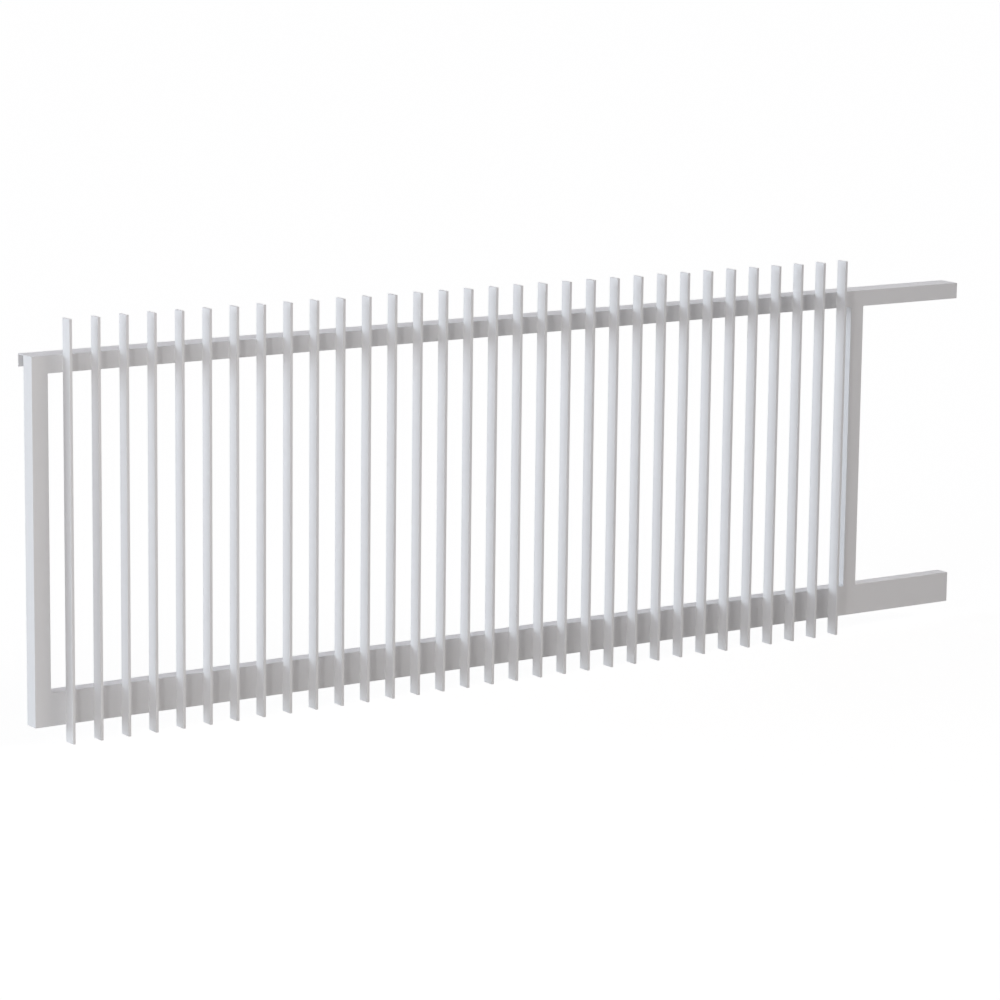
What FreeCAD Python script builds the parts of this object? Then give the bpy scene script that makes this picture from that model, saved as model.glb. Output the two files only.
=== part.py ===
"""A sliding driveway gate leaf: a tube frame with a tail, a screen of upright blades and a top guide.

Millimetres. +X runs from the closing end to the tail, +Y from the street side to the back, +Z up.
The origin is the middle of the bottom rail's underside, the face that the leaf is carried on.
"""

import FreeCAD, Part
import Sketcher
import os

# Driving sizes: name, value, what it measures.
SIZES = [
    ("picket_count", 32, "upright blades in the screen"),
    ("picket_pitch", 106, "from one blade to the next"),
    ("picket_width", 10, "a blade's narrow front edge"),
    ("picket_depth", 50, "a blade, from the frame forward"),
    ("picket_above", 123, "a blade's reach above the top rail"),
    ("picket_below", 60, "a blade's reach below the bottom rail"),
    ("picket_edge", 0.6, "eased edges of a blade, along it and round its cut ends"),
    ("first_gap", 55, "closing stile to first blade"),
    ("last_gap", 63, "last blade to inner stile"),
    ("stile_width", 60, "both stiles, along the gate"),
    ("frame_depth", 60, "every tube of the frame, front to back"),
    ("frame_height", 1260, "underside of the bottom rail to top of the top rail"),
    ("top_rail_height", 60, "top rail"),
    ("bottom_rail_height", 115, "bottom rail"),
    ("tail_length", 466, "rails beyond the inner stile"),
    ("tube_wall", 3, "wall of every tube"),
    ("tube_corner", 1.5, "outside corner radius of every tube"),
    ("cap_thickness", 3, "plate of an end cap"),
    ("cap_plug", 12, "plug of an end cap, into the tube"),
    ("cap_clearance", 0.3, "round an end cap's plug"),
    ("cap_edge", 0.8, "eased outer edge of an end cap's plate"),
    ("guide_reach", 38, "top guide, behind the top rail"),
    ("guide_drop", 45, "top guide's rear lip, from the top of the rail"),
    ("guide_thickness", 3, "both legs of the top guide"),
    ("guide_corner", 1.5, "outside corner radius of the top guide"),
]

# Places along the leaf, worked out from the driving sizes.
SCREEN_LENGTH = "((sizes.picket_count - 1) * sizes.picket_pitch + sizes.picket_width)"
OPENING_LENGTH = f"(sizes.first_gap + {SCREEN_LENGTH} + sizes.last_gap)"
LEAF_LENGTH = f"(2 * sizes.stile_width + {OPENING_LENGTH} + sizes.tail_length)"
CLOSING_END = f"(-{LEAF_LENGTH} / 2)"
TAIL_END = f"({LEAF_LENGTH} / 2)"
CLOSING_STILE_INSIDE = f"({CLOSING_END} + sizes.stile_width)"
RAIL_LENGTH = f"({LEAF_LENGTH} - sizes.stile_width - sizes.cap_thickness)"
FRONT = "(-sizes.frame_depth / 2)"
BACK = "(sizes.frame_depth / 2)"

doc = FreeCAD.newDocument("sliding_gate_leaf")
sheet = doc.addObject("Spreadsheet::Sheet", "sizes")
for row, (alias, value, meaning) in enumerate(SIZES, start=1):
    sheet.set(f"A{row}", meaning)
    sheet.set(f"B{row}", str(value))
    sheet.setAlias(f"B{row}", alias)
doc.recompute()


def new_body(label, x, y, z):
    """An empty body whose own origin stands at the given place in the leaf."""
    body = doc.addObject("PartDesign::Body", label)
    body.Label = label
    for axis, place in zip("xyz", (x, y, z)):
        body.setExpression(f"Placement.Base.{axis}", place)
    return body


def new_sketch(body, plane_role):
    """A sketch on one of the body's own origin planes."""
    plane = next(item for item in body.Origin.OriginFeatures if item.Role == plane_role)
    sketch = body.newObject("Sketcher::SketchObject", f"{body.Name}_section")
    sketch.AttachmentSupport = [(plane, "")]
    sketch.MapMode = "FlatFace"
    return sketch


def bind(sketch, constraint, expression):
    """Adds a dimension to the sketch and ties it to the sheet."""
    index = sketch.addConstraint(constraint)
    sketch.setExpression(f"Constraints[{index}]", expression)


def draw_rectangle(sketch, width, height, inset=None):
    """A rectangle with its low corner on the sketch's origin, or inset from it by the same amount in X and Y."""
    start = 1.0 if inset else 0.0
    corners = [(start, start), (start + 2, start), (start + 2, start + 2), (start, start + 2)]
    points = [FreeCAD.Vector(px, py, 0) for px, py in corners]
    first = sketch.GeometryCount
    for here, there in zip(points, points[1:] + points[:1]):
        sketch.addGeometry(Part.LineSegment(here, there), False)
    for side in range(4):
        sketch.addConstraint(Sketcher.Constraint("Coincident", first + side, 2, first + (side + 1) % 4, 1))
        sketch.addConstraint(Sketcher.Constraint(("Horizontal", "Vertical")[side % 2], first + side))
    if inset:
        bind(sketch, Sketcher.Constraint("DistanceX", -1, 1, first, 1, start), inset)
        bind(sketch, Sketcher.Constraint("DistanceY", -1, 1, first, 1, start), inset)
    else:
        sketch.addConstraint(Sketcher.Constraint("Coincident", -1, 1, first, 1))
    bind(sketch, Sketcher.Constraint("DistanceX", first, 1, first, 2, 2.0), width)
    bind(sketch, Sketcher.Constraint("DistanceY", first + 1, 1, first + 1, 2, 2.0), height)


def pad(body, sketch, length, backwards=False):
    """Extrudes a sketch square to its plane, and makes that the body's result."""
    feature = body.newObject("PartDesign::Pad", f"{body.Name}_pad")
    feature.Profile = sketch
    feature.Reversed = backwards
    feature.setExpression("Length", length)
    body.Tip = feature
    doc.recompute()
    return feature


def corner_edges(shape, along, corners):
    """Names of the edges that run along an axis at the given corners of the shape's box, as (low, high) pairs."""
    across = [axis for axis in "XYZ" if axis != along]
    box = shape.BoundBox
    names = []
    for number, edge in enumerate(shape.Edges, start=1):
        middle = edge.BoundBox.Center
        reach = getattr(edge.BoundBox, f"{along}Length")
        for corner in corners:
            gaps = [
                abs(getattr(middle, axis.lower()) - getattr(box, f"{axis}{side}"))
                for axis, side in zip(across, corner)
            ]
            if reach > Part.Precision.confusion() and max(gaps) < Part.Precision.confusion():
                names.append(f"Edge{number}")
    return names


ALL_CORNERS = [("Min", "Min"), ("Min", "Max"), ("Max", "Min"), ("Max", "Max")]


def round_edges(body, along, radius, corners=ALL_CORNERS):
    """Rounds the body's outer edges that run along an axis."""
    base = body.Tip
    feature = body.newObject("PartDesign::Fillet", f"{body.Name}_round")
    feature.Base = (base, corner_edges(base.Shape, along, corners))
    feature.setExpression("Radius", radius)
    body.Tip = feature
    doc.recompute()


def end_edges(shape, along, side):
    """Names of the edges round the face at the low (Min) or high (Max) end of the shape along an axis."""
    level = getattr(shape.BoundBox, f"{along}{side}")
    names = []
    for number, edge in enumerate(shape.Edges, start=1):
        gaps = [abs(getattr(vertex, along) - level) for vertex in edge.Vertexes]
        if max(gaps) < Part.Precision.confusion():
            names.append(f"Edge{number}")
    return names


def every_edge(shape):
    """Names of all the edges of the shape."""
    return [f"Edge{number}" for number in range(1, len(shape.Edges) + 1)]


def ease_edges(body, choose, size):
    """Takes the sharpness off the edges that choose(shape) names, with a small flat."""
    base = body.Tip
    feature = body.newObject("PartDesign::Chamfer", f"{body.Name}_ease")
    feature.Base = (base, choose(base.Shape))
    feature.setExpression("Size", size)
    body.Tip = feature
    doc.recompute()


PLANE_OF = {"X": "YZ_Plane", "Z": "XY_Plane"}


def make_tube(label, along, width, height, length, place):
    """A rectangular hollow section of the frame's wall, open at both ends."""
    body = new_body(label, *place)
    sketch = new_sketch(body, PLANE_OF[along])
    draw_rectangle(sketch, width, height)
    inner = "({} - 2 * sizes.tube_wall)"
    draw_rectangle(sketch, inner.format(width), inner.format(height), inset="sizes.tube_wall")
    pad(body, sketch, length)
    round_edges(body, along, "sizes.tube_corner")
    return body


def make_cap(label, along, width, height, place, outwards):
    """A tube's end cap: a plate over the end, with a plug that stands inside the wall."""
    body = new_body(label, *place)
    plate = new_sketch(body, PLANE_OF[along])
    draw_rectangle(plate, width, height)
    pad(body, plate, "sizes.cap_thickness", backwards=not outwards)
    round_edges(body, along, "sizes.tube_corner")
    outer = "Max" if outwards else "Min"
    ease_edges(body, lambda shape: end_edges(shape, along, outer), "sizes.cap_edge")
    plug = new_sketch(body, PLANE_OF[along])
    inset = "(sizes.tube_wall + sizes.cap_clearance)"
    draw_rectangle(plug, f"({width} - 2 * {inset})", f"({height} - 2 * {inset})", inset=inset)
    pad(body, plug, "sizes.cap_plug", backwards=outwards)
    return body


def make_picket(number):
    """One upright blade, edge on to the street, seated on the front faces of both rails."""
    place = f"{CLOSING_STILE_INSIDE} + sizes.first_gap + {number - 1} * sizes.picket_pitch"
    body = new_body(f"picket_{number:02d}", place, f"{FRONT} - sizes.picket_depth", "-sizes.picket_below")
    sketch = new_sketch(body, "XY_Plane")
    draw_rectangle(sketch, "sizes.picket_width", "sizes.picket_depth")
    pad(body, sketch, "sizes.picket_below + sizes.frame_height + sizes.picket_above")
    ease_edges(body, every_edge, "sizes.picket_edge")
    return body


def make_guide(label):
    """The top guide: a flat web level with the top of the rail, and a lip turned down behind it."""
    body = new_body(label, CLOSING_END, BACK, "sizes.frame_height - sizes.guide_drop")
    sketch = new_sketch(body, "YZ_Plane")
    outline = [(0, 6), (0, 8), (6, 8), (6, 0), (4, 0), (4, 6)]
    points = [FreeCAD.Vector(py, pz, 0) for py, pz in outline]
    for here, there in zip(points, points[1:] + points[:1]):
        sketch.addGeometry(Part.LineSegment(here, there), False)
    for side in range(6):
        sketch.addConstraint(Sketcher.Constraint("Coincident", side, 2, (side + 1) % 6, 1))
        sketch.addConstraint(Sketcher.Constraint(("Vertical", "Horizontal")[side % 2], side))
    sketch.addConstraint(Sketcher.Constraint("PointOnObject", 0, 1, -2))
    sketch.addConstraint(Sketcher.Constraint("PointOnObject", 3, 2, -1))
    bind(sketch, Sketcher.Constraint("DistanceY", 0, 1, 0, 2, 2.0), "sizes.guide_thickness")
    bind(sketch, Sketcher.Constraint("DistanceX", 1, 1, 1, 2, 6.0), "sizes.guide_reach")
    bind(sketch, Sketcher.Constraint("DistanceY", 2, 2, 2, 1, 8.0), "sizes.guide_drop")
    bind(sketch, Sketcher.Constraint("DistanceX", 3, 2, 3, 1, 2.0), "sizes.guide_thickness")
    pad(body, sketch, LEAF_LENGTH)
    round_edges(body, "X", "sizes.guide_corner", corners=[("Max", "Max")])
    return body


def make_frame():
    """The four tubes: a closing stile of full height, two rails that butt on it, and the inner stile between."""
    depth = "sizes.frame_depth"
    stile = "sizes.stile_width"
    top = "sizes.top_rail_height"
    bottom = "sizes.bottom_rail_height"
    top_underside = f"(sizes.frame_height - {top})"
    closing_stile_height = "sizes.frame_height - 2 * sizes.cap_thickness"
    inner_stile_place = f"{CLOSING_STILE_INSIDE} + {OPENING_LENGTH}"
    return [
        make_tube("closing_stile", "Z", stile, depth, closing_stile_height,
                  (CLOSING_END, FRONT, "sizes.cap_thickness")),
        make_tube("top_rail", "X", depth, top, RAIL_LENGTH, (CLOSING_STILE_INSIDE, FRONT, top_underside)),
        make_tube("bottom_rail", "X", depth, bottom, RAIL_LENGTH, (CLOSING_STILE_INSIDE, FRONT, "0")),
        make_tube("inner_stile", "Z", stile, depth, f"{top_underside} - {bottom}",
                  (inner_stile_place, FRONT, bottom)),
    ]


def make_caps():
    """The four end caps: top and foot of the closing stile, and the tail ends of both rails."""
    depth = "sizes.frame_depth"
    stile = "sizes.stile_width"
    top = "sizes.top_rail_height"
    tail = f"{TAIL_END} - sizes.cap_thickness"
    return [
        make_cap("stile_top_cap", "Z", stile, depth,
                 (CLOSING_END, FRONT, "sizes.frame_height - sizes.cap_thickness"), outwards=True),
        make_cap("stile_foot_cap", "Z", stile, depth,
                 (CLOSING_END, FRONT, "sizes.cap_thickness"), outwards=False),
        make_cap("top_rail_tail_cap", "X", depth, top,
                 (tail, FRONT, f"sizes.frame_height - {top}"), outwards=True),
        make_cap("bottom_rail_tail_cap", "X", depth, "sizes.bottom_rail_height",
                 (tail, FRONT, "0"), outwards=True),
    ]


pieces = make_frame() + make_caps() + [make_guide("guide_angle")]
pieces += [make_picket(number) for number in range(1, int(sheet.picket_count) + 1)]
doc.recompute()

for item in doc.Objects:
    if "Invalid" in item.State or "Error" in item.State:
        raise RuntimeError(f"{item.Label} failed: {item.State}")
for piece in pieces:
    if piece.Shape.isNull() or not piece.Shape.isValid() or len(piece.Shape.Solids) != 1:
        raise RuntimeError(f"{piece.Label} is not one valid solid")

os.makedirs("parts", exist_ok=True)
for piece in pieces:
    piece.Shape.exportStep(f"parts/{piece.Label}.step")
print(f"{len(pieces)} pieces, {sum(piece.Shape.Volume for piece in pieces):.0f} cubic mm of metal")
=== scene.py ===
# %% [markdown]
# # A sliding driveway gate leaf
# The leaf is a white powder-coated frame of square tube with a tail, a screen of upright blades across its
# front and a turned-down guide along the back of its top rail. Its shapes and sizes are already fixed in
# the imported model. This lesson adds what the workshop adds to the real one: the welds, the coat and the
# light that it is looked at in. The first cell loads the leaf and keeps its box.

# %% Load the leaf
import bpy
import numpy as np
from mathutils import Matrix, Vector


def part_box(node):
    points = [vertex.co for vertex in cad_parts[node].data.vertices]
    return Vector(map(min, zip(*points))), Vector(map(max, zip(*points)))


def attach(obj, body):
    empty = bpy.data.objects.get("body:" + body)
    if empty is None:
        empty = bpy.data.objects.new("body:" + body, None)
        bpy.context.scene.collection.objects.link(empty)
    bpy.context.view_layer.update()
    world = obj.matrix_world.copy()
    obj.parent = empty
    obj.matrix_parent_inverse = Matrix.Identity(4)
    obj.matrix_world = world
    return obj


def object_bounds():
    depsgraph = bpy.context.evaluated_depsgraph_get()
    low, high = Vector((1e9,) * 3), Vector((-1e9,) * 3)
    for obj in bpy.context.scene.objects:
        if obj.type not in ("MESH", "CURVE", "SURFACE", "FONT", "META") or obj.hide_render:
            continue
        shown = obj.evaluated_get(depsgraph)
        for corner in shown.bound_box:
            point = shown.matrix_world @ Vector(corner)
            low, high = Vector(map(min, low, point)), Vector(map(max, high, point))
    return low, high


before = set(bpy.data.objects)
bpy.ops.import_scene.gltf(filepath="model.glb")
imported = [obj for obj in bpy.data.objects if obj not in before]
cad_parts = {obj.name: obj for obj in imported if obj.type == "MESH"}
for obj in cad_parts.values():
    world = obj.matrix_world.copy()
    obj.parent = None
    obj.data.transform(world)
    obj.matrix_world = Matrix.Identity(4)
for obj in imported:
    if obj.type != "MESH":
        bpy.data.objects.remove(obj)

bare_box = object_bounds()
leaf_low, leaf_high = (np.array(corner) for corner in bare_box)
scene = bpy.context.scene
print("nodes", len(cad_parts), "leaf from", leaf_low.round(3), "to", leaf_high.round(3))

# %% [markdown]
# ## The camera
# The picture is taken from the street side, from beyond the closing end and a little above, with a long
# lens from far away: the last blade, over three metres further on, looks only an eighth shorter than the
# first. A camera could be aimed at a point by eye. Here its place, its three angles and its lens are
# written down, because they follow from the straight edges of the leaf. Yaw turns the view to the right,
# pitch tips it down, roll leans it a little.

# %% Place the camera
SENSOR_WIDTH = 36.0
LENS = 136.4
CAMERA_PLACE = np.array([-7.6465, -11.1291, 3.0948])
YAW, PITCH, ROLL = np.radians([34.111, -10.525, 0.682])

forward = np.array([np.sin(YAW) * np.cos(PITCH), np.cos(YAW) * np.cos(PITCH), np.sin(PITCH)])
level_right = np.array([np.cos(YAW), -np.sin(YAW), 0.0])
level_up = np.cross(level_right, forward)
right = np.cos(ROLL) * level_right + np.sin(ROLL) * level_up
up = np.cos(ROLL) * level_up - np.sin(ROLL) * level_right

camera_data = bpy.data.cameras.new("camera")
camera_data.sensor_width = SENSOR_WIDTH
camera_data.lens = LENS
camera = bpy.data.objects.new("camera", camera_data)
camera_pose = np.eye(4)
camera_pose[:3, :] = np.column_stack([right, up, -forward, CAMERA_PLACE])
camera.matrix_world = Matrix(camera_pose.tolist())
scene.collection.objects.link(camera)
scene.camera = camera
scene.view_settings.view_transform = "Standard"
print("camera", np.linalg.norm(CAMERA_PLACE).round(2), "m from the leaf's origin, lens", LENS, "mm")

# %% [markdown]
# ## Nodes with less typing
# Every finish below is a small web of shader nodes. Two helpers keep those webs short: one adds a node and
# fills in its sockets, the other says which rays are looked along and which only carry light.


# %% Node helpers
def add_node(tree, kind, settings=(), **sockets):
    """A node of the given kind, with its own settings and its sockets' values filled in."""
    node = tree.nodes.new(kind)
    for setting, value in dict(settings).items():
        setattr(node, setting, value)
    for socket, value in sockets.items():
        node.inputs[socket.replace("_", " ")].default_value = value
    return node


def seen_ray(tree):
    """A socket that is 1 for a ray from the camera, a gloss or a glass, and 0 for all other light."""
    path = add_node(tree, "ShaderNodeLightPath")
    either = add_node(tree, "ShaderNodeMath", {"operation": "MAXIMUM"})
    any_of = add_node(tree, "ShaderNodeMath", {"operation": "MAXIMUM"})
    tree.links.new(path.outputs["Is Camera Ray"], either.inputs[0])
    tree.links.new(path.outputs["Is Glossy Ray"], either.inputs[1])
    tree.links.new(either.outputs[0], any_of.inputs[0])
    tree.links.new(path.outputs["Is Transmission Ray"], any_of.inputs[1])
    return any_of.outputs[0]


print("node helpers ready")

# %% [markdown]
# ## A white ground and a white sky
# The leaf is shown on plain white with hardly a shadow. Turning the lamps up until the ground burns out
# would spoil the leaf too. Instead the ground and the sky are white only to rays that are looked along, and
# for all other light the ground is pale and the sky is a soft grey. The white of the ground is a glow just
# short of white, and a dark matt tone adds a little of the real light to it. That makes it full white in
# the open and leaves a very faint shadow behind the leaf.

# %% Ground and sky
X_AXIS, Y_AXIS, Z_AXIS = range(3)
GROUND_REACH = 60.0
GROUND_TONE = (0.86, 0.86, 0.86, 1.0)
SHOWN_GLOW = 0.92
SHADOW_TONE = (0.17, 0.17, 0.17, 1.0)
SKY_TONE = (1.0, 0.94, 0.92, 1.0)
SKY_LEVEL = 0.134
WHITE = (1.0, 1.0, 1.0, 1.0)


def white_ground_finish():
    """Pale and matt to the light; to the eye a glow just short of white, with a little real light added."""
    finish = bpy.data.materials.new("white_ground")
    finish.use_nodes = True
    tree = finish.node_tree
    tree.nodes.clear()
    pale = add_node(tree, "ShaderNodeBsdfDiffuse", Color=GROUND_TONE)
    glow = add_node(tree, "ShaderNodeEmission", Color=WHITE, Strength=SHOWN_GLOW)
    shaded = add_node(tree, "ShaderNodeBsdfDiffuse", Color=SHADOW_TONE)
    shown = add_node(tree, "ShaderNodeAddShader")
    mix = add_node(tree, "ShaderNodeMixShader")
    out = add_node(tree, "ShaderNodeOutputMaterial")
    tree.links.new(glow.outputs[0], shown.inputs[0])
    tree.links.new(shaded.outputs[0], shown.inputs[1])
    tree.links.new(seen_ray(tree), mix.inputs["Fac"])
    tree.links.new(pale.outputs[0], mix.inputs[1])
    tree.links.new(shown.outputs[0], mix.inputs[2])
    tree.links.new(mix.outputs[0], out.inputs["Surface"])
    return finish


corner_x, corner_y = GROUND_REACH * np.array([[-1, 1, 1, -1], [-1, -1, 1, 1]])
ground_corners = np.column_stack([corner_x, corner_y, np.full(4, leaf_low[Z_AXIS])])
ground_mesh = bpy.data.meshes.new("ground")
ground_mesh.from_pydata(ground_corners.tolist(), [], [(0, 1, 2, 3)])
ground_mesh.materials.append(white_ground_finish())
ground = bpy.data.objects.new("ground", ground_mesh)
scene.collection.objects.link(ground)

sky = bpy.data.worlds.new("white_sky")
sky.use_nodes = True
sky_tree = sky.node_tree
sky_tree.nodes.clear()
grey_sky = add_node(sky_tree, "ShaderNodeBackground", Color=SKY_TONE, Strength=SKY_LEVEL)
white_sky = add_node(sky_tree, "ShaderNodeBackground", Color=WHITE, Strength=1.0)
sky_mix = add_node(sky_tree, "ShaderNodeMixShader")
sky_out = add_node(sky_tree, "ShaderNodeOutputWorld")
sky_tree.links.new(seen_ray(sky_tree), sky_mix.inputs["Fac"])
sky_tree.links.new(grey_sky.outputs[0], sky_mix.inputs[1])
sky_tree.links.new(white_sky.outputs[0], sky_mix.inputs[2])
sky_tree.links.new(sky_mix.outputs[0], sky_out.inputs["Surface"])
scene.world = sky
print("ground at", round(float(leaf_low[Z_AXIS]), 3), "m, sky level", SKY_LEVEL)

# %% [markdown]
# ## Five soft lights
# The outer sides of the stile and blades are the brightest and a little blue, and the rails throw a soft
# slanted shadow on them: so the main light stands low beyond the closing end, a little behind the leaf,
# with a higher one further round. Two lights on the street side, one from each end, model the fronts. A
# weak one behind keeps the back from going dead. Area lamps could do this, but they fade along four metres
# of gate. A sun lamp with a wide disc is as soft and stays even. Each is given by its compass from the
# street (90 is beyond the closing end, 180 behind the leaf), its height, the width of its disc, its tone
# and its level.

# %% Wide lights
WIDE_LIGHTS = {
    "low_closing_light": (110.0, 5.0, 30.0, (0.85, 0.925, 1.0), 1.61),
    "high_closing_light": (130.0, 30.0, 30.0, (0.73, 0.84, 1.0), 0.375),
    "street_closing_light": (66.0, 20.0, 20.0, (0.925, 0.94, 1.0), 0.366),
    "street_tail_light": (300.0, 30.0, 30.0, (1.0, 0.96, 0.935), 1.04),
    "garden_light": (210.0, 20.0, 30.0, (0.92, 0.875, 1.0), 0.213),
}


def aim(back):
    """The turn that makes a lamp shine away from the direction 'back', as a 4 x 4 array."""
    back = np.asarray(back) / np.linalg.norm(back)
    across = np.cross([0.0, 0.0, 1.0], back)
    across /= np.linalg.norm(across)
    turn = np.eye(4)
    turn[:3, :3] = np.column_stack([across, np.cross(back, across), back])
    return turn


def add_wide_light(name, compass, height, disc, tone, level):
    """A round distant light, given by its compass and height from the leaf and its width, all in degrees."""
    around, rise, width = np.radians([compass, height, disc])
    lamp_data = bpy.data.lights.new(name, "SUN")
    lamp_data.angle = width
    lamp_data.color = tone
    lamp_data.energy = level
    lamp = bpy.data.objects.new(name, lamp_data)
    toward = [-np.sin(around) * np.cos(rise), -np.cos(around) * np.cos(rise), np.sin(rise)]
    lamp.matrix_world = Matrix(aim(toward).tolist())
    scene.collection.objects.link(lamp)


for name, settings in WIDE_LIGHTS.items():
    add_wide_light(name, *settings)
print("wide lights", list(WIDE_LIGHTS))

# %% [markdown]
# ## Two near lamps
# Right of each blade a narrow shadow lies on the rails, with a firm edge, and it grows wider towards the
# tail. Only a small lamp that isn't too far away can do that: it is on the street side, off the closing
# end, a little over half as high as the leaf. The fronts also grow a little darker from the closing end to
# the tail, as under a soft box that stands near the closing end. Both are round area lamps, a small one and
# a wide one.

# %% Near lamps
NEAR_LAMPS = {
    "small_street_lamp": ((-6.9, -5.35, 0.8), 0.2, (1.0, 1.0, 1.0), 70.0),
    "soft_street_box": ((-3.1, -3.0, 2.0), 1.5, (1.0, 0.91, 0.835), 10.2),
}
leaf_middle = (leaf_low + leaf_high) / 2


def add_near_lamp(name, place, size, tone, watts):
    """A round lamp of the given width in metres, at a place, that faces the middle of the leaf."""
    lamp_data = bpy.data.lights.new(name, "AREA")
    lamp_data.shape = "DISK"
    lamp_data.size = size
    lamp_data.color = tone
    lamp_data.energy = watts
    lamp = bpy.data.objects.new(name, lamp_data)
    from_leaf = np.array(place) - leaf_middle
    lamp_pose = aim(from_leaf)
    lamp_pose[:3, 3] = place
    lamp.matrix_world = Matrix(lamp_pose.tolist())
    scene.collection.objects.link(lamp)
    print(name, np.linalg.norm(from_leaf).round(2), "m from the middle of the leaf")


for name, settings in NEAR_LAMPS.items():
    add_near_lamp(name, *settings)

# %% [markdown]
# ## The powder coat
# The coat is baked on as powder: a satin white skin with a faint orange peel a few millimetres across, a
# finer speckle in its gloss, and a tone that drifts very slightly from one stretch to the next. Under it
# the bars keep the fine lines that the die drew along them. An image could hold all that, but noise
# textures on the leaf's own coordinates do it at the true scale and never repeat. The die lines are a noise
# stretched along the bar, so rails and uprights have a coat each; caps and welds have none. Over a stitch
# of weld the coat follows the small pools that it was laid in, which a wave along the stitch gives.

# %% Powder coat
# The scale of a noise is in features a metre. A wave of scale 1 turns through 20 radians in a metre.
MILLIMETRE = 0.001
COAT_LIGHT = (0.828, 0.828, 0.832, 1.0)
COAT_DEEP = (0.804, 0.804, 0.810, 1.0)
COAT_IOR = 1.5
BAR_ROUGHNESS = (0.42, 0.54)
CAP_ROUGHNESS = (0.38, 0.48)
WELD_ROUGHNESS = (0.40, 0.56)
TONE_DRIFT = {"Scale": 2.2, "Detail": 3.0}
GLOSS_SPECKLE = {"Scale": 1500.0, "Detail": 1.0}
ORANGE_PEEL = {"Scale": 340.0, "Detail": 2.0, "Roughness": 0.4}
PEEL_HEIGHT = 0.03 * MILLIMETRE
DIE_LINES = {"Scale": 700.0, "Detail": 2.0}
DIE_LINE_STRETCH = 400.0
DIE_LINE_HEIGHT = 0.01 * MILLIMETRE
POOL_LENGTH = 2.6 * MILLIMETRE
POOL_HEIGHT = 0.15 * MILLIMETRE
WAVE_RADIANS_A_METRE = 20.0
POOL_WAVE = {"Scale": 2 * np.pi / (WAVE_RADIANS_A_METRE * POOL_LENGTH), "Distortion": 1.2, "Detail": 1.0}
BUMP_STRENGTH = 0.6


def add_noise(tree, place, **sockets):
    """A noise texture that reads the given coordinates."""
    noise = add_node(tree, "ShaderNodeTexNoise", **sockets)
    tree.links.new(place, noise.inputs["Vector"])
    return noise.outputs["Fac"]


def add_bump(tree, height, distance, under=None):
    """A bump of the given height in metres, laid over another one where there is one."""
    bump = add_node(tree, "ShaderNodeBump", Strength=BUMP_STRENGTH, Distance=distance)
    tree.links.new(height, bump.inputs["Height"])
    if under:
        tree.links.new(under, bump.inputs["Normal"])
    return bump.outputs["Normal"]


def powder_coat(name, roughness, drawn_along=None, laid_along=None):
    """White satin powder coat whose roughness stays between the two given values.

    Under it are die lines along the axis that a bar was drawn along, or pools along the axis of a weld.
    """
    finish = bpy.data.materials.new(name)
    finish.use_nodes = True
    tree = finish.node_tree
    tree.nodes.clear()
    place = add_node(tree, "ShaderNodeTexCoord").outputs["Object"]
    drift = add_noise(tree, place, **TONE_DRIFT)
    speckle = add_noise(tree, place, **GLOSS_SPECKLE)
    peel = add_noise(tree, place, **ORANGE_PEEL)
    surface = None
    if drawn_along is not None:
        stretch = np.ones(3)
        stretch[drawn_along] = 1 / DIE_LINE_STRETCH
        along = add_node(tree, "ShaderNodeMapping", Scale=stretch)
        tree.links.new(place, along.inputs["Vector"])
        lines = add_noise(tree, along.outputs["Vector"], **DIE_LINES)
        surface = add_bump(tree, lines, DIE_LINE_HEIGHT)
    if laid_along is not None:
        pools = add_node(tree, "ShaderNodeTexWave", {"bands_direction": "XYZ"[laid_along]}, **POOL_WAVE)
        tree.links.new(place, pools.inputs["Vector"])
        surface = add_bump(tree, pools.outputs["Fac"], POOL_HEIGHT)
    surface = add_bump(tree, peel, PEEL_HEIGHT, under=surface)
    tone = add_node(tree, "ShaderNodeMix", {"data_type": "RGBA"}, A=COAT_LIGHT, B=COAT_DEEP)
    tree.links.new(drift, tone.inputs["Factor"])
    gloss = add_node(tree, "ShaderNodeMapRange", To_Min=roughness[0], To_Max=roughness[1])
    tree.links.new(speckle, gloss.inputs["Value"])
    coat = add_node(tree, "ShaderNodeBsdfPrincipled", IOR=COAT_IOR)
    out = add_node(tree, "ShaderNodeOutputMaterial")
    tree.links.new(tone.outputs["Result"], coat.inputs["Base Color"])
    tree.links.new(gloss.outputs["Result"], coat.inputs["Roughness"])
    tree.links.new(surface, coat.inputs["Normal"])
    tree.links.new(coat.outputs[0], out.inputs["Surface"])
    return finish


rail_coat = powder_coat("rail_powder_coat", BAR_ROUGHNESS, drawn_along=X_AXIS)
upright_coat = powder_coat("upright_powder_coat", BAR_ROUGHNESS, drawn_along=Z_AXIS)
cap_coat = powder_coat("cap_powder_coat", CAP_ROUGHNESS)
weld_coat = powder_coat("weld_powder_coat", WELD_ROUGHNESS)
stitch_coat = powder_coat("stitch_powder_coat", WELD_ROUGHNESS, laid_along=Z_AXIS)
print("coats", [finish.name for finish in (rail_coat, upright_coat, cap_coat, weld_coat, stitch_coat)])

# %% [markdown]
# ## The coat on the leaf
# Tubes, blades, guide and caps hang in the same oven, so all of them wear the same white. What differs is
# the run of the die lines: along the leaf on the rails and the guide, upright on the stiles and the blades,
# and none on the pressed caps. A coat could be given to each of the pieces by hand. Here a piece's name
# says what it is, so that a blade more or less needs no change.


# %% Coat the leaf
def coat_of(node_name):
    """The coat for a node, by what it is: a cap, an upright or a length that lies along the leaf."""
    if node_name.endswith("_cap"):
        return cap_coat
    if node_name.startswith("picket") or node_name.endswith("_stile"):
        return upright_coat
    return rail_coat


for name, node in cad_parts.items():
    node.data.materials.clear()
    node.data.materials.append(coat_of(name))
print("coated", len(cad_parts), "nodes")

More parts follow.
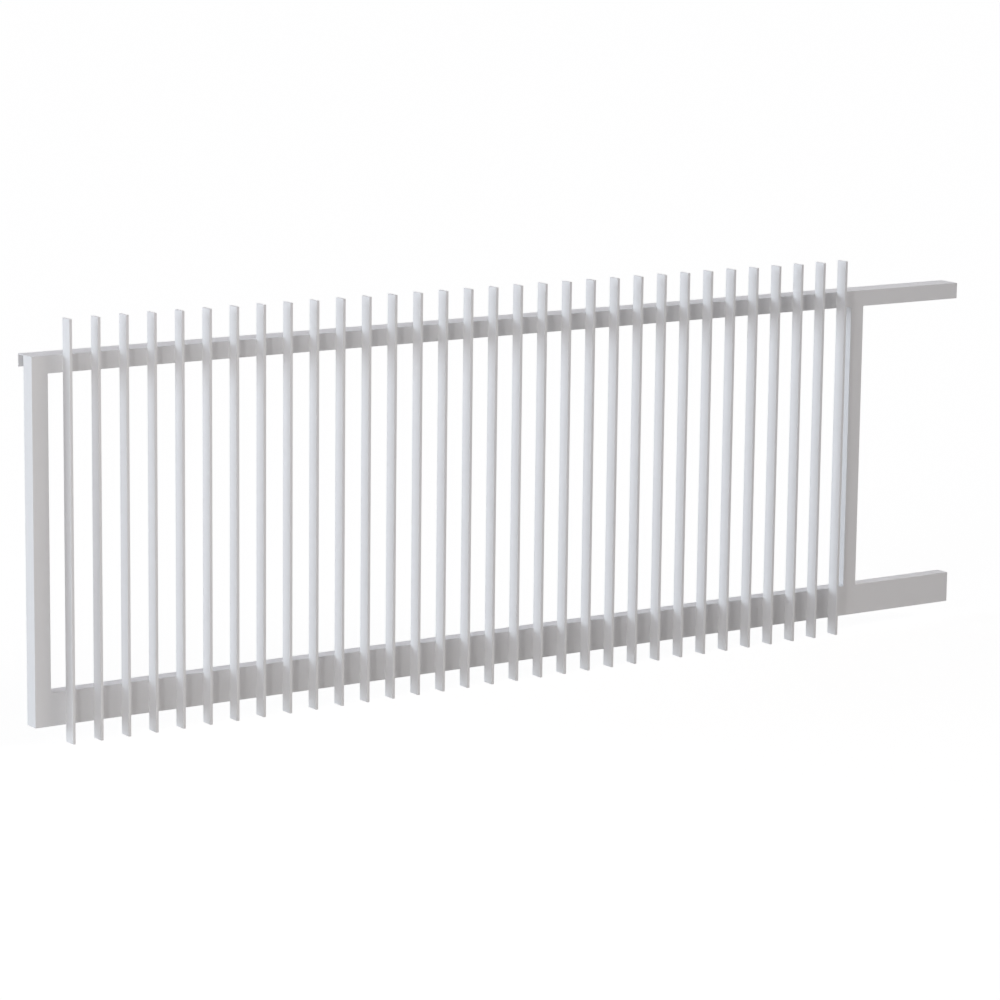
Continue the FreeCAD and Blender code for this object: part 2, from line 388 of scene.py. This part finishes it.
# %% [markdown]
# ## A bead of weld as a surface
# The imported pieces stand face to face. On the real leaf a bead of weld holds each of them: a small section
# carried along a short straight line, thin at both ends, with its root down in the joint. Blender could
# bevel a curve for that, but a bevelled curve doesn't taper to a point at its root. So a bead is a surface
# of two parameters, s along it and q round its section, worked out for all the beads of a kind at once.
# Each ring of points is joined to the next, and a pole closes each end.

# %% Bead helpers
SHARP_TURN = np.radians(50.0)
ROOT_DEPTH = 0.8 * MILLIMETRE
TOE_SINK = 0.05 * MILLIMETRE
FILLET_BULGE = 1.7


def ring_faces(rings, sides):
    """Quads between neighbouring rings, and fans to two poles that are numbered after the last ring."""
    here = np.arange(sides)
    after = (here + 1) % sides
    base = sides * np.arange(rings - 1)[:, None]
    quads = np.stack([base + here, base + after, base + sides + after, base + sides + here], axis=-1)
    last = sides * (rings - 1)
    first_pole, last_pole = sides * rings, sides * rings + 1
    first_fan = np.stack([after, here, np.full(sides, first_pole)], axis=-1)
    last_fan = np.stack([last + here, last + after, np.full(sides, last_pole)], axis=-1)
    return quads.reshape(-1, 4), np.concatenate([first_fan, last_fan])


def add_beads(name, corners, side_a, side_b, half_length, section, stations, swell, finish):
    """Beads along straight corners, as one piece.

    A point of a bead is its corner's middle, plus s times the half length along the corner, plus the
    section's u on side a and v on side b, both times the swell at s. 'Along' is square to both sides, in the
    order that turns the faces outwards. The poles stand at s = -1 and s = 1, a root's depth down the corner.
    """
    corners, side_a, side_b = np.broadcast_arrays(corners, side_a, side_b)
    along = np.cross(side_a, side_b)
    lengthways = half_length * stations[:, None] * along[:, None, :]
    spread = section[:, 0, None] * side_a[:, None, :] + section[:, 1, None] * side_b[:, None, :]
    rings = (corners[:, None, None, :] + lengthways[:, :, None, :]
             + swell[:, None, None] * spread[:, None, :, :])
    ends = half_length * np.array([-1.0, 1.0])[:, None] * along[:, None, :]
    poles = corners[:, None, :] + ends - ROOT_DEPTH * (side_a + side_b)[:, None, :]
    points = np.concatenate([rings.reshape(len(corners), -1, 3), poles], axis=1)
    quads, fans = ring_faces(len(stations), len(section))
    starts = points.shape[1] * np.arange(len(corners))[:, None, None]
    mesh = bpy.data.meshes.new(name)
    mesh.from_pydata(points.reshape(-1, 3).tolist(), [],
                     (quads + starts).reshape(-1, 4).tolist() + (fans + starts).reshape(-1, 3).tolist())
    mesh.polygons.foreach_set("use_smooth", np.ones(len(mesh.polygons), dtype=bool))
    mesh.set_sharp_from_angle(angle=SHARP_TURN)
    mesh.materials.append(finish)
    piece = bpy.data.objects.new(name, mesh)
    scene.collection.objects.link(piece)
    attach(piece, "root")
    print(name, len(corners), "beads,", len(mesh.polygons), "faces")


def fillet_section(leg, steps):
    """A fillet between two square faces.

    With q from 0 to a quarter turn, u is the leg times cos q and v the leg times sin q, where cos and sin are
    raised to a power just under 2, which bulges the straight chamfer a little. The toes sink a hair into the
    faces, and the last point is the root, down in the joint.
    """
    q = np.linspace(0.0, np.pi / 2, steps)
    face = leg * np.stack([np.cos(q), np.sin(q)], axis=-1).clip(0.0) ** FILLET_BULGE - TOE_SINK
    return np.concatenate([face, [[-ROOT_DEPTH, -ROOT_DEPTH]]])


def pointed(stations, blunt):
    """The swell of a bead that thins to nothing at s = -1 and 1: the square root of 1 - |s| ^ blunt."""
    return np.sqrt(1.0 - np.abs(stations) ** blunt)


print("a bead's root is", ROOT_DEPTH / MILLIMETRE, "mm deep")

# %% [markdown]
# ## Seat welds of the blades
# Each blade stands edge on against the rails, and short stitches in the corners on both its sides hold it:
# one stitch a side at the top rail, and two at the deeper bottom rail, near its upper and lower edge. One
# stitch could be modelled and copied nearly two hundred times. Worked out together they make one piece for
# each rail, and each stitch has only a few dozen faces. Their places come from the boxes of the blades and
# rails, so they follow when a size of the leaf changes.

# %% Seat welds
SEAT_LEG = 2.5 * MILLIMETRE
SEAT_EDGE_GAP = 7.0 * MILLIMETRE
TOP_SEAT_HALF = 21.0 * MILLIMETRE
BOTTOM_SEAT_HALF = 15.0 * MILLIMETRE
SEAT_BLUNT = 4.0
SEAT_RINGS, SEAT_STEPS = 10, 4

blades = sorted(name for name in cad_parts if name.startswith("picket_"))
blade_sides = np.array([[corner[X_AXIS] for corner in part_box(name)] for name in blades])
top_low, top_high = (np.array(corner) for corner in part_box("top_rail"))
bottom_low, bottom_high = (np.array(corner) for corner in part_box("bottom_rail"))
front = top_low[Y_AXIS]
LEFT, RIGHT = np.array([-1.0, 0.0, 0.0]), np.array([1.0, 0.0, 0.0])
STREET, GARDEN = np.array([0.0, -1.0, 0.0]), np.array([0.0, 1.0, 0.0])
UP, DOWN = np.array([0.0, 0.0, 1.0]), np.array([0.0, 0.0, -1.0])


def seat_corners(heights):
    """The middles of the stitches at the given heights: all blades' left corners, then all right ones."""
    across, levels = np.meshgrid(blade_sides.T.ravel(), heights, indexing="ij")
    return np.stack([across, np.full_like(across, front), levels], axis=-1).reshape(-1, 3)


def add_seat_welds(name, heights, half_length):
    """Stitches at the given heights, in the corner left of each blade and in the corner right of it."""
    corners = seat_corners(heights)
    on_right = (np.arange(len(corners)) >= len(corners) // 2)[:, None]
    stations = np.sin(np.linspace(-1.0, 1.0, SEAT_RINGS + 2)[1:-1] * np.pi / 2)
    add_beads(name, corners, np.where(on_right, STREET, LEFT), np.where(on_right, RIGHT, STREET),
              half_length, fillet_section(SEAT_LEG, SEAT_STEPS), stations, pointed(stations, SEAT_BLUNT),
              stitch_coat)


add_seat_welds("blade_top_seat_welds", [(top_low + top_high)[Z_AXIS] / 2], TOP_SEAT_HALF)
add_seat_welds("blade_bottom_seat_welds",
               [bottom_low[Z_AXIS] + SEAT_EDGE_GAP + BOTTOM_SEAT_HALF,
                bottom_high[Z_AXIS] - SEAT_EDGE_GAP - BOTTOM_SEAT_HALF], BOTTOM_SEAT_HALF)

# %% [markdown]
# ## Corner welds of the frame
# Inside the frame, where a stile meets a rail, a full bead runs through the corner from front to back. It
# is laid by hand in small overlapping pools, so it is rippled. A bump in the coat could show ripples, but
# these beads can be looked at closely, and there are only six. So the ripples are in the surface: the swell
# rises and falls with a wave of one pool's length.

# %% Corner welds
CORNER_LEG = 4.0 * MILLIMETRE
CORNER_BLUNT = 16.0
POOL_RISE = 0.05
RINGS_A_POOL = 6
CORNER_STEPS = 8
END_GAP = 2.5 * MILLIMETRE


def rippled(half_length, blunt):
    """Stations and swell of a hand-laid bead: thin ends, and between them a wave for each pool of weld.

    The swell is the pointed one times 1 - rise + 2 rise |sin a|, where a gains half a turn with each pool.
    """
    rings = int(2 * half_length / POOL_LENGTH * RINGS_A_POOL)
    stations = np.linspace(-1.0, 1.0, rings + 2)[1:-1]
    wave = np.abs(np.sin(np.pi * half_length * stations / POOL_LENGTH))
    return stations, pointed(stations, blunt) * (1.0 - POOL_RISE + 2 * POOL_RISE * wave)


closing_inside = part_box("closing_stile")[1][X_AXIS]
inner_low, inner_high = (np.array(corner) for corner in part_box("inner_stile"))
frame_back = top_high[Y_AXIS]
stile_faces = [(closing_inside, RIGHT), (inner_low[X_AXIS], LEFT), (inner_high[X_AXIS], RIGHT)]
rail_faces = [(top_low[Z_AXIS], DOWN), (bottom_high[Z_AXIS], UP)]
corner_half = (frame_back - front) / 2 - END_GAP
corner_places = np.array([[x, (front + frame_back) / 2, z] for x, _ in stile_faces for z, _ in rail_faces])
from_stile = np.array([away for _, away in stile_faces for _ in rail_faces])
from_rail = np.array([away for _ in stile_faces for _, away in rail_faces])
corner_stations, corner_swell = rippled(corner_half, CORNER_BLUNT)
add_beads("frame_corner_welds", corner_places, from_stile, from_rail, corner_half,
          fillet_section(CORNER_LEG, CORNER_STEPS), corner_stations, corner_swell, weld_coat)

# %% [markdown]
# ## Stitches under the top guide
# The guide's flat web butts against the back of the top rail, level with its top. It is held from below, in
# the corner under the web, by stitches at even steps along the leaf, which a roller's wheel passes without
# touching. An array modifier could repeat one of them, with a step to be set by hand. Here the steps follow
# from the leaf's two ends, and the stitches are the same rippled fillet, turned into that corner.

# %% Guide stitches
GUIDE_LEG = 3.0 * MILLIMETRE
GUIDE_BLUNT = 6.0
GUIDE_STITCH_HALF = 20.0 * MILLIMETRE
GUIDE_STITCH_COUNT = 13
GUIDE_THICKNESS = 3.0 * MILLIMETRE  # as packed
GUIDE_END_GAP = 60.0 * MILLIMETRE

guide_high = np.array(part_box("guide_angle")[1])
stitch_x = np.linspace(top_low[X_AXIS] + GUIDE_END_GAP, guide_high[X_AXIS] - GUIDE_END_GAP,
                       GUIDE_STITCH_COUNT)
web_underside = guide_high[Z_AXIS] - GUIDE_THICKNESS
stitch_places = np.array([0.0, frame_back, web_underside]) + stitch_x[:, None] * RIGHT
stitch_stations, stitch_swell = rippled(GUIDE_STITCH_HALF, GUIDE_BLUNT)
add_beads("guide_stitch_welds", stitch_places, GARDEN, DOWN, GUIDE_STITCH_HALF,
          fillet_section(GUIDE_LEG, CORNER_STEPS), stitch_stations, stitch_swell, weld_coat)

# %% [markdown]
# ## Dressed welds on the faces
# On the front and the back the frame looks like one flat piece, and so does the top with its guide, because
# the welds over the joints there are ground flush before coating. The tubes' rounded edges leave a small
# groove at each joint, and the dressed weld fills it. The coat's colour alone would leave a dark line. So
# the weld is a very flat lens of a section, hardly crowned, its edges a hair under the faces.

# %% Dressed welds
DRESSED_HALF_WIDTH = 3.0 * MILLIMETRE
DRESSED_CROWN = 0.05 * MILLIMETRE
DRESSED_SINK = 0.02 * MILLIMETRE
DRESSED_END = 2.0 * MILLIMETRE
DRESSED_STEPS, DRESSED_END_RINGS = 9, 6
TUBE_CORNER = 1.5 * MILLIMETRE  # as packed


def dressed_section():
    """A flat lens, then two root points.

    With q from 0 to half a turn, u is the half width times cos q, and v the crown times sin q less the sink.
    """
    q = np.linspace(0.0, np.pi, DRESSED_STEPS)
    face = np.stack([DRESSED_HALF_WIDTH * np.cos(q), DRESSED_CROWN * np.sin(q) - DRESSED_SINK], axis=-1)
    half_root = DRESSED_HALF_WIDTH / 2
    root = np.array([[-half_root, -ROOT_DEPTH], [half_root, -ROOT_DEPTH]])
    return np.concatenate([face, root])


def rounded_ends(half_length):
    """Stations and swell of an even weld with round ends.

    With t from 0 to a quarter turn, a ring near an end stands the end's length times 1 - cos t inside it, and
    its swell is sin t. Between the two ends the weld is straight and needs no more rings.
    """
    t = np.linspace(0.0, np.pi / 2, DRESSED_END_RINGS + 1)[1:]
    inside = DRESSED_END * (1.0 - np.cos(t)) / half_length
    return np.concatenate([inside - 1.0, 1.0 - inside[::-1]]), np.concatenate([np.sin(t), np.sin(t)[::-1]])


def add_dressed_welds(name, places, across, outward, half_length):
    """Dressed welds at the given places, with the direction across each of them and out of its face."""
    stations, swell = rounded_ends(half_length)
    add_beads(name, np.array(places), across, outward, half_length,
              dressed_section(), stations, swell, weld_coat)


def half_between(low, high):
    """Half the length of a dressed weld between two rounded edges of a tube."""
    return (high - low) / 2 - TUBE_CORNER


inner_middle = (inner_low + inner_high)[X_AXIS] / 2
top_middle = (top_low + top_high)[Z_AXIS] / 2
bottom_middle = (bottom_low + bottom_high)[Z_AXIS] / 2
both_faces = np.array([STREET, GARDEN])
add_dressed_welds("top_rail_dressed_weld",
                  [[closing_inside, y, top_middle] for y in (front, frame_back)], RIGHT, both_faces,
                  half_between(top_low[Z_AXIS], top_high[Z_AXIS]))
add_dressed_welds("bottom_rail_dressed_weld",
                  [[closing_inside, y, bottom_middle] for y in (front, frame_back)], RIGHT, both_faces,
                  half_between(bottom_low[Z_AXIS], bottom_high[Z_AXIS]))
add_dressed_welds("inner_stile_dressed_welds",
                  [[inner_middle, y, z] for z in (top_low[Z_AXIS], bottom_high[Z_AXIS])
                   for y in (front, frame_back)], UP, np.tile(both_faces, (2, 1)),
                  half_between(inner_low[X_AXIS], inner_high[X_AXIS]))
add_dressed_welds("guide_top_dressed_weld",
                  [[(top_low + top_high)[X_AXIS] / 2, frame_back, top_high[Z_AXIS]]], GARDEN, UP,
                  (top_high - top_low)[X_AXIS] / 2)
